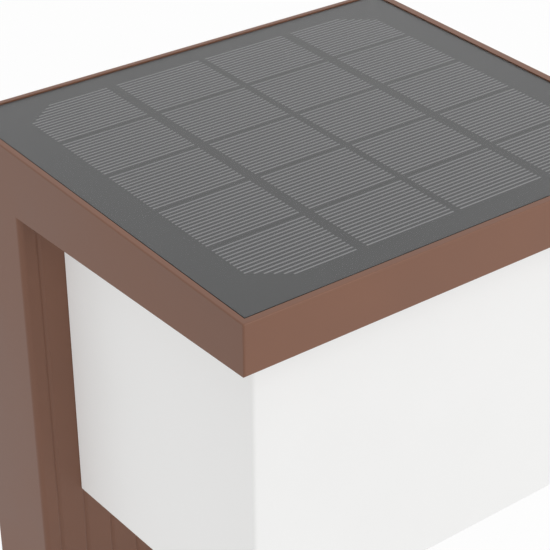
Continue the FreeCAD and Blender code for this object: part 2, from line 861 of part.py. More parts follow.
def diffuser():
    """A box of opal plastic, open towards the roof, with four posts that the screws go into."""
    body = rectangle_pad("diffuser", "XY_Plane", "box_base", "box_top - box_base",
                         "-box_half", "box_half", "box_front", "box_rear")
    base, front = size("box_base"), size("box_front")
    round_edges(body, "box_round", lambda middle, along: (
        near(middle.z, base) or (near(middle.y, front) and abs(along.z) > 0.99)))
    inside = sketch_on(body, "XY_Plane", "box_base + box_wall")
    draw_rectangle(inside, "box_wall - box_half", "box_half - box_wall",
                   "box_front + box_wall", "box_rear - box_wall")
    pocket(body, inside, "box_height + box_tongue - box_wall")
    posts = sketch_on(body, "XY_Plane", "roof_under - post_height")
    for across, along in post_places():
        draw_rectangle(posts, f"{across} - post_size / 2", f"{across} + post_size / 2",
                       f"{along} - post_size / 2", f"{along} + post_size / 2")
    pad(body, posts, "post_height")
    circles_pocket(body, "XY_Plane", "roof_under", "long_screw_reach + screw_end_gap", post_places(),
                   "tight_hole_large", against=True)
    return body


def diffuser_seal():
    body = new_body("diffuser_seal")
    sketch = sketch_on(body, "XY_Plane", "box_top")
    for grow in ("0", "-box_wall"):
        draw_rectangle(sketch, f"-box_half - ({grow})", f"box_half + ({grow})",
                       f"box_front - ({grow})", f"box_rear + ({grow})")
    pad(body, sketch, "box_slot_depth - box_tongue")


def led_places():
    columns, rows = int(size("led_columns")), int(size("led_rows"))
    for column in range(columns):
        for row in range(rows):
            yield (size("led_pitch_across") * (column - (columns - 1) / 2),
                   size("box_middle") + size("led_pitch_along") * (row - (rows - 1) / 2))


def light_sources():
    """Metal-core board against the roof's floor, its light sources and the white sheet round them."""
    board = rectangle_pad("led_board", "XY_Plane", "led_board_base", "led_board_thick",
                          "-led_board_length / 2", "led_board_length / 2",
                          "box_middle - led_board_depth / 2", "box_middle + led_board_depth / 2")
    circles_pocket(board, "XY_Plane", "led_board_base", "led_board_thick", led_screw_places(),
                   "small_screw + clearance_hole")
    length, depth, height = size("led_length"), size("led_depth"), size("led_height")
    top = size("led_board_base")
    chips = [block((x - length / 2, y - depth / 2, top - height), (x + length / 2, y + depth / 2, top))
             for x, y in led_places()]
    feature("leds", Part.Compound(chips))
    half, thick, gap = size("sheet_half"), size("sheet_thick"), size("sheet_window_gap")
    front = size("box_front + box_wall + sheet_gap")
    rear = size("box_rear - box_wall - sheet_gap")
    sheet = block((-half, front, top - thick), (half, rear, top))
    windows = [block((x - length / 2 - gap, y - depth / 2 - gap, top - thick),
                     (x + length / 2 + gap, y + depth / 2 + gap, top)) for x, y in led_places()]
    clear = size("post_size / 2 + sheet_gap")
    for across, along in post_places():
        x, y = size(across), size(along)
        windows.append(block((x - clear, y - clear, top - thick), (x + clear, y + clear, top)))
    for across, along in led_screw_places():
        windows.append(Part.makeCylinder(
            size("small_screw + clearance_hole"), thick, Vector(size(across), size(along), top - thick)))
    feature("reflector_sheet", sheet.cut(windows))


def lead_grommet():
    body = turned("lead_grommet", "XY_Plane", "led_lead_place", "led_lead_row", [
        ("roof_under", "roof_floor", "grommet_radius"),
        ("floor_top", "grommet_flange", "grommet_radius + grommet_flange")])
    circles_pocket(body, "XY_Plane", "roof_under", "roof_floor + grommet_flange",
                   [("led_lead_place", "led_lead_row")], "grommet_bore")


# ---------------------------------------------------------------- rear cover and bracket

def rear_cover():
    """A plate in the housing's rear opening, with two hooks that hang on the bracket."""
    body = rectangle_pad("rear_cover", "XZ_Plane", "cover_setback", "cover_thick",
                         "cover_gap - opening_half", "opening_half - cover_gap",
                         "opening_base + cover_gap", "opening_top - cover_gap")
    circles_pocket(body, "XZ_Plane", "cover_setback", "cover_thick", cover_screw_places(),
                   "large_screw + clearance_hole")
    for sign in ("", "-"):
        hook = sketch_on(body, "YZ_Plane", f"{sign}hook_spacing / 2")
        draw_outline(hook, [
            ("cover_outer", "stem_low"), ("lip_rear - hook_lip", "stem_low"),
            ("lip_rear - hook_lip", "lip_low"), ("lip_rear", "lip_low"),
            ("lip_rear", "stem_low + hook_rise"), ("cover_outer", "stem_low + hook_rise")])
        pad(body, hook, "hook_width", both=True)


def rear_seal():
    body = new_body("rear_seal")
    sketch = sketch_on(body, "XZ_Plane", "-cover_inner")
    low_gap = "rear_seal_gap"
    draw_rectangle(sketch, f"{low_gap} - opening_half", f"opening_half - {low_gap}",
                   f"opening_base + {low_gap}", f"opening_top - {low_gap}")
    draw_rectangle(sketch, f"-inner_half - {low_gap}", f"inner_half + {low_gap}",
                   f"inner_base - {low_gap}", f"inner_top + {low_gap}")
    pad(body, sketch, "rear_seal_thick")


def wall_bracket():
    """A strip of sheet steel whose middle stands off the fence, with two windows for the hooks."""
    body = new_body("wall_bracket")
    sketch = sketch_on(body, "XY_Plane")
    foot = "bracket_width / 2 - bracket_foot"
    front_half = [
        ("bracket_width / 2", "0"), ("bracket_width / 2", "-bracket_sheet"), (foot, "-bracket_sheet"),
        (f"{foot} - bracket_slant", "-bracket_standoff")]
    rear_half = [
        (f"{foot} - bend_shift", "0"),
        (f"{foot} - bend_shift - bracket_slant", "bracket_sheet - bracket_standoff")]
    outline = front_half + [(f"-({x})", y) for x, y in reversed(front_half)]
    outline += [(f"-({x})", y) for x, y in rear_half] + list(reversed(rear_half))
    draw_outline(sketch, outline)
    pad(body, sketch, "bracket_height", both=True)
    windows = sketch_on(body, "XZ_Plane")
    for sign in ("", "-"):
        middle = f"{sign}hook_spacing / 2"
        draw_rectangle(windows, f"{middle} - window_half", f"{middle} + window_half",
                       "hook_level", "window_top")
    pocket(body, windows, "bracket_standoff")
    circles_pocket(body, "XZ_Plane", "0", "bracket_sheet", both_sides("fence_hole_spacing / 2", "0"),
                   "fence_hole_radius")
    round_edges(body, "bracket_sheet", lambda middle, along: (
        near(abs(middle.x), size("bracket_width / 2")) and abs(along.y) > 0.99))


# ---------------------------------------------------------------- battery

def battery():
    turned("battery_cell", "YZ_Plane", "cell_row", "battery_level", [
        ("cell_minus", "cell_long - nub_height", "cell_radius"),
        ("cell_plus - nub_height", "nub_height", "nub_radius")])
    battery_cradle()
    row, level = size("cell_row"), size("battery_level")
    width, thick, tab = size("contact_width") / 2, size("contact_thick"), size("contact_tab")
    tab_half = size("contact_tab_width") / 2
    plates = []
    for left in (size("cradle_left"), size("cell_plus")):
        right, high = left + thick, level + width
        plate = block((left, row - width, level - width), (right, row + width, high))
        upright = block((left, row - tab_half, high), (right, row + tab_half, high + tab))
        plates.append(plate.fuse(upright).removeSplitter())
    feature("battery_contacts", Part.Compound(plates))
    feature("battery_spring", coil(
        Vector(size("cradle_left + contact_thick"), row, level), Vector(1, 0, 0), Vector(0, 0, 1),
        size("coil_radius"), size("coil_wire"), int(size("coil_turns")), size("coil_length")))


def battery_cradle():
    """An open tray: floor, two low sides, two end walls and an ear at each end for a screw."""
    body = rectangle_pad("battery_cradle", "XZ_Plane", "-cradle_floor_top", "cradle_floor",
                         "cradle_left - cradle_wall", "cradle_right + cradle_wall",
                         "battery_level - cradle_half", "battery_level + cradle_half")
    sides = sketch_on(body, "XZ_Plane", "-cradle_floor_top")
    for low in ("battery_level - cradle_half", "battery_level + cradle_half - cradle_wall"):
        draw_rectangle(sides, "cradle_left - cradle_wall", "cradle_right + cradle_wall",
                       low, f"{low} + cradle_wall")
    pad(body, sides, "cradle_side_rise", against=True)
    ends = sketch_on(body, "XZ_Plane", "-cradle_floor_top")
    for left in ("cradle_left - cradle_wall", "cradle_right"):
        draw_rectangle(ends, left, f"{left} + cradle_wall",
                       "battery_level - cradle_half", "battery_level + cradle_half")
    pad(body, ends, "cradle_end_rise", against=True)
    ears = sketch_on(body, "XZ_Plane", "-ear_seat")
    for left in ("ear_left - ear_length / 2", "ear_right - ear_length / 2"):
        draw_rectangle(ears, left, f"{left} + ear_length",
                       "battery_level - ear_width / 2", "battery_level + ear_width / 2")
    pad(body, ears, "ear_thick", against=True)
    circles_pocket(body, "XZ_Plane", "-ear_seat - ear_thick", "ear_thick", ear_screw_places(),
                   "small_screw + clearance_hole")


# ---------------------------------------------------------------- control board

def control_board():
    """The board on its four bosses, with the parts that stand on its rear face."""
    board = rectangle_pad("control_board", "XZ_Plane", "-board_face", "board_thick",
                          "-board_length / 2", "board_length / 2",
                          "board_level - board_rise / 2", "board_level + board_rise / 2")
    circles_pocket(board, "XZ_Plane", "-board_face", "board_thick", board_screw_places(),
                   "small_screw + clearance_hole")
    turned("inductor", "XZ_Plane", "inductor_place", "board_level", [
        ("-board_face - inductor_flange", "inductor_flange", "inductor_radius"),
        ("-board_face - inductor_flange - inductor_core", "inductor_core", "inductor_core_radius"),
        ("-board_face - 2 * inductor_flange - inductor_core", "inductor_flange", "inductor_radius")])
    turned("capacitor", "XZ_Plane", "-capacitor_place", "board_level", [
        ("-board_face - capacitor_length", "capacitor_length", "capacitor_radius")])
    driver_chip()
    lead_connectors()


def driver_chip():
    """A small moulded package that stands on four legs along its upper and its lower edge."""
    face, level = size("board_face"), size("board_level")
    half, rise = size("chip_length") / 2, size("chip_rise") / 2
    lift, reach, leg = size("chip_lift"), size("leg_reach"), size("leg_width") / 2
    top = face + lift + size("chip_thick")
    package = block((-half, face + lift, level - rise), (half, top, level + rise))
    legs = []
    for number in range(4):
        x = size("leg_pitch") * (number - 1.5)
        for low in (level - rise - reach, level + rise):
            legs.append(block((x - leg, face, low), (x + leg, face + size("leg_thick"), low + reach)))
    feature("driver_chip", package.fuse(legs).removeSplitter())


def lead_connectors():
    """Four sockets, two above and two below, each with a notch where its wires come in."""
    face, half, depth = size("board_face"), size("socket_length") / 2, size("socket_depth")
    rise, notch = size("socket_rise") / 2, size("notch_length") / 2
    sockets = []
    for x in (-size("socket_spacing") / 2, size("socket_spacing") / 2):
        for side in (-1, 1):
            middle = size("board_level") + side * size("socket_level")
            mouth = middle + side * (rise - size("notch_rise") / 2)
            socket = block((x - half, face, middle - rise), (x + half, face + depth, middle + rise))
            sockets.append(socket.cut(block(
                (x - notch, face + depth - size("notch_depth"), mouth - size("notch_rise") / 2),
                (x + notch, face + depth, mouth + size("notch_rise") / 2))))
    feature("lead_connectors", Part.Compound(sockets))


# ---------------------------------------------------------------- push button and switch

def push_button():
    turned("power_button", "XY_Plane", "button_place", "button_row", [
        ("cap_low", "ring_level - ring_radius - cap_low", "button_radius"),
        ("ring_level - ring_radius", "2 * ring_radius", "button_radius - 2 * ring_radius + button_gap / 2"),
        ("ring_level + ring_radius", "flange_low - ring_level - ring_radius", "button_radius"),
        ("flange_low", "button_flange", "button_flange_radius"),
        ("flange_top", "stem_length", "stem_radius"),
        ("stem_top", "stem_tip_length", "stem_tip_radius")])
    ring = DOC.addObject("Part::Torus", "button_seal")
    ring.Label = "button_seal"
    bind(ring, Radius1="button_radius - ring_radius + button_gap / 2", Radius2="ring_radius",
         Placement__Base__x="button_place", Placement__Base__y="button_row",
         Placement__Base__z="ring_level")


def switch():
    """A housing over the button's stem, the spring in it, and the small board above."""
    body = rectangle_pad("switch_body", "XY_Plane", "switch_low", "switch_top - switch_low",
                         "button_place - switch_length / 2", "button_place + switch_length / 2",
                         "button_row - switch_width / 2", "button_row + switch_width / 2")
    circles_pocket(body, "XY_Plane", "switch_low", "chamber_top - switch_low",
                   [("button_place", "button_row")], "stem_radius + stem_gap")
    spring_foot = Vector(size("button_place"), size("button_row"), size("stem_top + spring_gap"))
    feature("switch_spring", coil(
        spring_foot, Vector(0, 0, 1), Vector(1, 0, 0), size("stem_tip_radius + 2 * spring_wire"),
        size("spring_wire"), int(size("spring_turns")), size("spring_length - spring_gap")))
    half_length, half_width = "switch_board_length / 2", "switch_board_width / 2"
    board = rectangle_pad("switch_board", "XY_Plane", "switch_top", "switch_board_thick",
                          f"button_place - {half_length}", f"button_place + {half_length}",
                          f"button_row - {half_width}", f"button_row + {half_width}")
    circles_pocket(board, "XY_Plane", "switch_top", "switch_board_thick", switch_screw_places(),
                   "small_screw + clearance_hole")


# ---------------------------------------------------------------- fasteners and wires

def all_screws():
    cover = [(size(x), size("cover_outer"), size(z)) for x, z in cover_screw_places()]
    screws("rear_cover_screws", cover, (0, -1, 0), "large_screw", "long_screw_reach + cover_thick")
    box = [(size(x), size(y), size("floor_top")) for x, y in post_places()]
    screws("diffuser_screws", box, (0, 0, -1), "large_screw", "long_screw_reach + roof_floor")
    led = [(size(x), size(y), size("led_board_base - sheet_thick")) for x, y in led_screw_places()]
    screws("led_board_screws", led, (0, 0, 1), "small_screw",
           "short_screw_reach + led_board_thick + sheet_thick")
    board = [(size(x), size("board_face"), size(z)) for x, z in board_screw_places()]
    screws("control_board_screws", board, (0, -1, 0), "small_screw", "short_screw_reach + board_thick")
    ears = [(size(x), size("ear_seat + ear_thick"), size(z)) for x, z in ear_screw_places()]
    screws("cradle_screws", ears, (0, -1, 0), "small_screw", "short_screw_reach + ear_thick")
    posts = [(size(x), size(y), size("switch_top + switch_board_thick")) for x, y in switch_screw_places()]
    screws("switch_screws", posts, (0, 0, -1), "small_screw", "short_screw_reach + switch_board_thick")


def all_leads():
    """The four pairs of wires. Each ends face to face on its socket and on what it feeds."""
    socket_left, socket_right = -size("socket_spacing") / 2, size("socket_spacing") / 2
    edge = size("socket_level") + size("socket_rise") / 2
    upper, lower = size("board_level") + edge, size("board_level") - edge
    row, over = size("lead_row"), size("floor_top")
    panel_leads(socket_left, row, upper)
    place, start = size("led_lead_place"), size("led_lead_row")
    lead_pair("led_leads", [
        (place, start, size("roof_under")), (place, start, over + size("led_lead_run")),
        (socket_right, row, over + size("led_lead_entry")), (socket_right, row, upper)])
    battery_leads(socket_left, row, lower)
    place, start, top = size("button_place"), size("button_row"), size("switch_top + switch_board_thick")
    lead_pair("switch_leads", [
        (place, start, top), (place, start, top + size("switch_lead_run")),
        (place, row, top + size("switch_lead_rise")),
        (socket_right, row, lower - size("switch_socket_run")), (socket_right, row, lower)])


def panel_leads(socket, row, upper):
    """From the rear of the panel's backing board, which slopes, down to the upper left socket."""
    start = size("housing_face - panel_lead_place")
    slope = size("panel_front_level + panel_fall * (housing_face - panel_lead_place - panel_front)")
    level = slope - size("laminate_thick / cos(panel_tilt)") - size("lead_gap")
    lead_pair("panel_leads", [
        (socket, start, level), (socket, start, level - size("panel_lead_run")),
        (socket, row, size("floor_top + panel_lead_entry")), (socket, row, upper)])


def battery_leads(socket, row, lower):
    """One wire from the tab of each contact plate to the lower left socket."""
    radius, offset = size("lead_radius"), size("lead_spacing") / 2
    tab_top = size("battery_level + contact_width / 2 + contact_tab")
    left, right = size("cradle_left + contact_thick / 2"), size("cell_plus + contact_thick / 2")
    wires = []
    for contact, side in ((left, -offset), (right, offset)):
        wires.append(tube([
            Vector(contact, size("cell_row"), tab_top),
            Vector(contact, size("cell_row"), tab_top + size("battery_lead_run")),
            Vector(socket + side, row, lower - size("socket_lead_run")),
            Vector(socket + side, row, lower)], radius))
    feature("battery_leads", Part.Compound(wires))


# ---------------------------------------------------------------- build, test and write

def build_all():
    main_body()
    solar_panel()
    panel_seal()
    diffuser()
    diffuser_seal()
    light_sources()
    lead_grommet()
    rear_cover()
    rear_seal()
    wall_bracket()
    battery()
    control_board()
    push_button()
    switch()
    all_screws()
    all_leads()
    DOC.recompute()


def sub_parts():
    """The objects that are pieces of the lamp: bodies, primitives and free shapes."""
    kinds = ("PartDesign::Body", "Part::Box", "Part::Torus", "Part::Feature")
    return [thing for thing in DOC.Objects if thing.TypeId in kinds]


def write_all():
    for thing in DOC.Objects:
        if "Invalid" in thing.State or "Error" in thing.State:
            raise RuntimeError(f"{thing.Label} failed: {thing.State}")
    pieces = sub_parts()
    for piece in pieces:
        shape = piece.Shape
        if shape.isNull() or not shape.isValid() or not shape.Solids:
            raise RuntimeError(f"{piece.Label} has no valid solid")
    os.makedirs("parts", exist_ok=True)
    for piece in pieces:
        piece.Shape.exportStep(f"parts/{piece.Label}.step")
        print(f"{piece.Label}: {len(piece.Shape.Solids)} solid, {piece.Shape.Volume:.1f} mm3")
    print(len(pieces), "sub-parts")


build_all()
write_all()
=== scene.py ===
# %% [markdown]
# # A solar fence light
#
# A brown moulded body carries a solar panel in its thick roof, with an opal light box under it. The
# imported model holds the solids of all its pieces. This lesson gives each piece the finish of the real
# one, adds the small things that are too fine for the solids, and sets up a plain studio round it.
#
# Lengths are in metres, with +X to the lamp's right as seen from its front, +Y into the fence and +Z
# up. The origin is the middle of the bracket's two screw holes.

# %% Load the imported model
import json
import math

import bpy
import numpy as np
from mathutils import Matrix, Vector


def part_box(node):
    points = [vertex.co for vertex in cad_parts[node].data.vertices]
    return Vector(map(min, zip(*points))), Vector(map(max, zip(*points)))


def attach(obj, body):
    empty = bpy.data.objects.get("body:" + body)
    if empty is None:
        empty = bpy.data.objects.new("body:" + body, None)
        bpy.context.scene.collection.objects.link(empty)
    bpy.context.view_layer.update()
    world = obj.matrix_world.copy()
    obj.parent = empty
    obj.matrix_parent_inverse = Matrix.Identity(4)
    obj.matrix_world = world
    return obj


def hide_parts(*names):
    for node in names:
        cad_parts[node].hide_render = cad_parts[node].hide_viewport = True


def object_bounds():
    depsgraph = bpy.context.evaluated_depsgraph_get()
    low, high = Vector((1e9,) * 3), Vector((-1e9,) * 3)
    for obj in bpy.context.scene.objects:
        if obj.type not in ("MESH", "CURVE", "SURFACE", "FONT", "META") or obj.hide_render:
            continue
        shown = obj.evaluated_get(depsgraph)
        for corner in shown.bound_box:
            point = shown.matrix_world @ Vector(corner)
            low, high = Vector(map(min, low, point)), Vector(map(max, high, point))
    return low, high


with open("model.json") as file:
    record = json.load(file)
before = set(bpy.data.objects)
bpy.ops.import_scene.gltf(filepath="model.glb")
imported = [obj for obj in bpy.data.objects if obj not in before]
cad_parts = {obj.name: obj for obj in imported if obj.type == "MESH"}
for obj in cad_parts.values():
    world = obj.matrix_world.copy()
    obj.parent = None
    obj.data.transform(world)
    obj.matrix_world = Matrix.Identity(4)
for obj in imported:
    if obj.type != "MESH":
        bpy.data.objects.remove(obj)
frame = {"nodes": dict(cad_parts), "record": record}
cad_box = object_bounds()
MM = 0.001
print("solids of the packed model:", len(frame["nodes"]))

# %% [markdown]
# ## The camera
#
# The photograph shows the lamp's upper front left corner from above, so close that most of the lamp
# lies outside it. The camera's place could be tried by eye, but straight edges give it exactly: the
# roof's edges run to three vanishing points, and those give the angles and the lens. The lens is long,
# so the roof's edges close up only a little towards the fence.

# %% Camera at the photograph's angle
CAMERA_PLACE = Vector((-0.27152, -0.39221, 0.27484))
CAMERA_AZIMUTH = -37.871
CAMERA_ELEVATION = 29.480
CAMERA_ROLL = -0.364
LENS = 113.73


def turn(degrees, axis):
    return Matrix.Rotation(math.radians(degrees), 4, axis)


camera = bpy.data.objects.new("camera", bpy.data.cameras.new("camera"))
camera.data.lens = LENS
camera.matrix_world = (Matrix.Translation(CAMERA_PLACE) @ turn(CAMERA_AZIMUTH, "Z")
                       @ turn(90 - CAMERA_ELEVATION, "X") @ turn(CAMERA_ROLL, "Z"))
bpy.context.scene.collection.objects.link(camera)
bpy.context.scene.camera = camera
print("camera:", round(LENS), "mm lens at", [round(value, 3) for value in CAMERA_PLACE])

# %% [markdown]
# ## Writing finishes as sums
#
# A finish is a small network of nodes. Placing nodes one by one hides the idea behind them, so two
# small classes let a finish be written as arithmetic: a `Wire` is one output of a node, and a sum or a
# product of wires adds the Math node that works it out. A `Finish` holds the material, makes any node
# from its type, its settings and its values, and ends in one Principled shader.

# %% Wire: a value that changes over the surface
class Wire:
    """One output of a node. Arithmetic on it adds a Math node to the same finish."""

    def __init__(self, finish, socket):
        self.finish = finish
        self.socket = socket

    def math(self, operation, first, second):
        return self.finish.node("ShaderNodeMath", {"operation": operation}, {0: first, 1: second})

    def __add__(self, other):
        return self.math("ADD", self, other)

    def __radd__(self, other):
        return self.math("ADD", other, self)

    def __sub__(self, other):
        return self.math("SUBTRACT", self, other)

    def __rsub__(self, other):
        return self.math("SUBTRACT", other, self)

    def __mul__(self, other):
        return self.math("MULTIPLY", self, other)

    def __rmul__(self, other):
        return self.math("MULTIPLY", other, self)


# %% Finish: a material that is written as a few lines of arithmetic
class Finish:
    """A material: patterns in the object's own metres, and one Principled shader at the end."""

    def __init__(self, name):
        self.material = bpy.data.materials.new(name)
        self.material.use_nodes = True
        self.tree = self.material.node_tree
        self.tree.nodes.clear()
        self.place = self.node("ShaderNodeTexCoord", output="Object")

    def node(self, kind, settings=None, values=None, output=0):
        """Adds a node: its settings first, then numbers or wires on its sockets."""
        made = self.tree.nodes.new(kind)
        for name, value in (settings or {}).items():
            setattr(made, name, value)
        for name, value in (values or {}).items():
            if isinstance(value, Wire):
                self.tree.links.new(value.socket, made.inputs[name])
            else:
                made.inputs[name].default_value = value
        return Wire(self, made.outputs[output])

    def noise(self, size, detail=2.0, place=None):
        """Soft lumps of about the given size, from 0 to 1 with a mean of a half."""
        values = {"Vector": place or self.place, "Scale": 1 / size, "Detail": detail}
        return self.node("ShaderNodeTexNoise", values=values, output="Fac")

    def stretched(self, along, across, up):
        """The place, squeezed so that a pattern of size 1 has these sizes along X, Y and Z."""
        scale = (1 / along, 1 / across, 1 / up)
        return self.node("ShaderNodeMapping", values={"Vector": self.place, "Scale": scale})

    def axis(self, letter):
        return self.node("ShaderNodeSeparateXYZ", values={"Vector": self.place}, output=letter)

    def step(self, value, low, high):
        """0 below low, 1 above high and a smooth rise between them."""
        values = {"Value": value, "From Min": low, "From Max": high}
        return self.node("ShaderNodeMapRange", {"interpolation_type": "SMOOTHSTEP"}, values)

    def mix(self, share, first, second):
        """A colour between two others."""
        values = {0: share, 6: opaque(first), 7: opaque(second)}
        return self.node("ShaderNodeMix", {"data_type": "RGBA"}, values, output=2)

    def bump(self, height, depth, strength):
        """A normal that follows a height from 0 to 1, whose full relief is depth metres."""
        values = {"Height": height, "Distance": depth, "Strength": strength}
        return self.node("ShaderNodeBump", values=values)

    def surface(self, colour, roughness, normal=None, **constants):
        """The Principled shader that ends the finish. Constants are named as its sockets are."""
        values = {"Base Color": opaque(colour), "Roughness": roughness}
        values.update({name.replace("_", " ").title(): value for name, value in constants.items()})
        values = {name.replace("Ior", "IOR"): value for name, value in values.items()}
        if normal:
            values["Normal"] = normal
        shader = self.node("ShaderNodeBsdfPrincipled", values=values)
        end = self.tree.nodes.new("ShaderNodeOutputMaterial")
        self.tree.links.new(shader.socket, end.inputs["Surface"])
        return self.material


def opaque(colour):
    """A colour of three numbers gets its fourth, and a wire stays as it is."""
    return colour if isinstance(colour, Wire) else (*colour, 1.0)


# %% [markdown]
# ## Moulded plastic
#
# The body, the rear cover and the light box are injection moulded. A mould's wall is spark-eroded, so
# the plastic carries a very fine grain, and the melt leaves slow changes of shade. Paint would show
# brush marks or runs, and a flat colour would look like paper, so the finish has both: a fine grain
# that moves the normal and the gloss, and a cloud several centimetres wide that moves the colour.
#
# Opal plastic passes light on inside its walls, so its shaded sides are far brighter than painted ones.
# Tracing that light through the walls is slow and noisy. An even glow stands in for it, and the colour
# is darker by as much, so that the bright side keeps its shade.

# %% One recipe for every moulded piece
CLOUD_SIZE = 45 * MM


def moulded(name, dark, light, grain, relief, gloss, **constants):
    """Colour drifts from dark to light; the grain has the given size and relief in metres."""
    finish = Finish(name)
    cloud = finish.step(finish.noise(CLOUD_SIZE, detail=3.0), 0.3, 0.7)
    fine = finish.noise(grain, detail=2.5)
    colour = finish.mix(cloud * 0.7 + fine * 0.3, dark, light)
    roughness = gloss + 0.05 * cloud + 0.10 * (fine - 0.5)
    return finish.surface(colour, roughness, finish.bump(fine, relief, 0.5), **constants)


# %% Plastics and rubber
GLOW = {"emission_color": (1.0, 0.998, 0.99, 1.0), "emission_strength": 0.37}
FINISHES = {
    "brown_plastic": moulded("brown_plastic", (0.184, 0.080, 0.046), (0.208, 0.091, 0.052),
                             0.35 * MM, 0.012 * MM, 0.42, specular_ior_level=0.45),
    "opal_plastic": moulded("opal_plastic", (0.480, 0.480, 0.475), (0.500, 0.500, 0.496),
                            0.9 * MM, 0.006 * MM, 0.34, specular_ior_level=0.4, **GLOW),
    "black_plastic": moulded("black_plastic", (0.018, 0.018, 0.019), (0.028, 0.028, 0.030),
                             0.4 * MM, 0.015 * MM, 0.48),
    "white_plastic": moulded("white_plastic", (0.70, 0.69, 0.65), (0.78, 0.77, 0.74),
                             0.4 * MM, 0.01 * MM, 0.42),
    "chip_plastic": moulded("chip_plastic", (0.012, 0.012, 0.013), (0.022, 0.022, 0.023),
                            0.08 * MM, 0.01 * MM, 0.58),
    "black_rubber": moulded("black_rubber", (0.006, 0.006, 0.006), (0.011, 0.011, 0.011),
                            0.2 * MM, 0.02 * MM, 0.80, specular_ior_level=0.10),
    "seal_foam": moulded("seal_foam", (0.30, 0.30, 0.30), (0.38, 0.38, 0.375),
                         0.25 * MM, 0.06 * MM, 0.80),
    "white_sheet": moulded("white_sheet", (0.86, 0.86, 0.86), (0.90, 0.90, 0.90),
                           0.15 * MM, 0.004 * MM, 0.55),
    "ferrite": moulded("ferrite", (0.030, 0.030, 0.033), (0.055, 0.055, 0.060),
                       0.12 * MM, 0.02 * MM, 0.52),
}
print("moulded finishes:", ", ".join(FINISHES))

# %% [markdown]
# ## The solar panel
#
# The panel is a laminate: a clear sheet, dark cells in a film, and a resin board. The photograph shows
# it dark grey and satin rather than black and shiny, so the gloss is soft. The clear sheet is nearly
# invisible, and what lies under it carries the soft gloss as a coat, which keeps the lines on the cells
# crisp. A clear sheet could be drawn with refraction, but that costs light and adds noise.

# %% Clear sheet, cells and film
SHEET_ALPHA = 0.02
SOFT_GLOSS = {"coat_weight": 0.5, "coat_roughness": 0.30}


def clear_sheet():
    finish = Finish("clear_sheet")
    haze = finish.noise(14 * MM, detail=4.0)
    colour = finish.mix(haze, (0.030, 0.030, 0.031), (0.050, 0.050, 0.051))
    return finish.surface(colour, 0.30 + 0.12 * haze, alpha=SHEET_ALPHA, ior=1.45)


def laminate(name, dark, light):
    """The matt dark skin of a cell or of the film round it, under the sheet's soft gloss."""
    finish = Finish(name)
    patch = finish.noise(9 * MM, detail=4.0)
    ripple = finish.noise(1.6 * MM, detail=2.0)
    colour = finish.mix(patch, dark, light)
    roughness = 0.42 + 0.06 * (patch - 0.5)
    return finish.surface(colour, roughness, finish.bump(ripple, 0.002 * MM, 0.4), **SOFT_GLOSS)


FINISHES["clear_sheet"] = clear_sheet()
FINISHES["solar_cell"] = laminate("solar_cell", (0.023, 0.024, 0.026), (0.031, 0.032, 0.034))
FINISHES["cell_film"] = laminate("cell_film", (0.023, 0.024, 0.025), (0.030, 0.031, 0.032))

# %% [markdown]
# ## Metal
#
# The bracket and the screws are zinc plated steel, the springs are drawn wire. Plating shows faint
# crystals, called spangle, and both show fine drawn lines. A Voronoi pattern gives the crystals, with
# one shade for each, and noise squeezed along one axis gives the lines.

# %% Plated and drawn steel
def plated_steel():
    finish = Finish("plated_steel")
    crystals = finish.node("ShaderNodeTexVoronoi", {"feature": "F1"},
                           {"Vector": finish.place, "Scale": 1 / (3.5 * MM)}, output="Color")
    shade = finish.node("ShaderNodeSeparateColor", values={"Color": crystals}, output="Red")
    lines = finish.noise(1.0, place=finish.stretched(14 * MM, 0.12 * MM, 0.12 * MM))
    rubbed = finish.noise(1.0, detail=4.0, place=finish.stretched(6 * MM, 6 * MM, 1 * MM))
    scuffs = finish.step(rubbed, 0.62, 0.75)
    colour = finish.mix(0.5 * shade + 0.3 * lines, (0.50, 0.51, 0.53), (0.72, 0.72, 0.71))
    roughness = 0.30 + 0.10 * shade + 0.06 * lines + 0.15 * scuffs
    return finish.surface(colour, roughness, finish.bump(lines, 0.006 * MM, 0.4), metallic=1.0)


def drawn_wire():
    finish = Finish("spring_steel")
    marks = finish.noise(0.3 * MM, detail=3.0)
    colour = finish.mix(marks, (0.48, 0.48, 0.50), (0.66, 0.66, 0.66))
    return finish.surface(colour, 0.22 + 0.14 * marks, finish.bump(marks, 0.004 * MM, 0.5), metallic=1.0)


def can_aluminium():
    finish = Finish("can_aluminium")
    drawn = finish.noise(1.0, place=finish.stretched(0.1 * MM, 5 * MM, 0.1 * MM))
    colour = finish.mix(drawn, (0.60, 0.61, 0.62), (0.76, 0.76, 0.77))
    return finish.surface(colour, 0.28 + 0.12 * drawn, finish.bump(drawn, 0.004 * MM, 0.5), metallic=1.0)


FINISHES["plated_steel"] = plated_steel()
FINISHES["spring_steel"] = drawn_wire()
FINISHES["can_aluminium"] = can_aluminium()

# %% [markdown]
# ## Boards, cell and wires
#
# A circuit board is resin under a thin coloured lacquer, and its copper tracks show through as paler
# lines with a small step. The mortar lines of a brick pattern make such tracks. The two boards lie in
# different planes, so the pattern reads X for one direction and the sum of Y and Z for the other: one
# of those two does not change over a board.

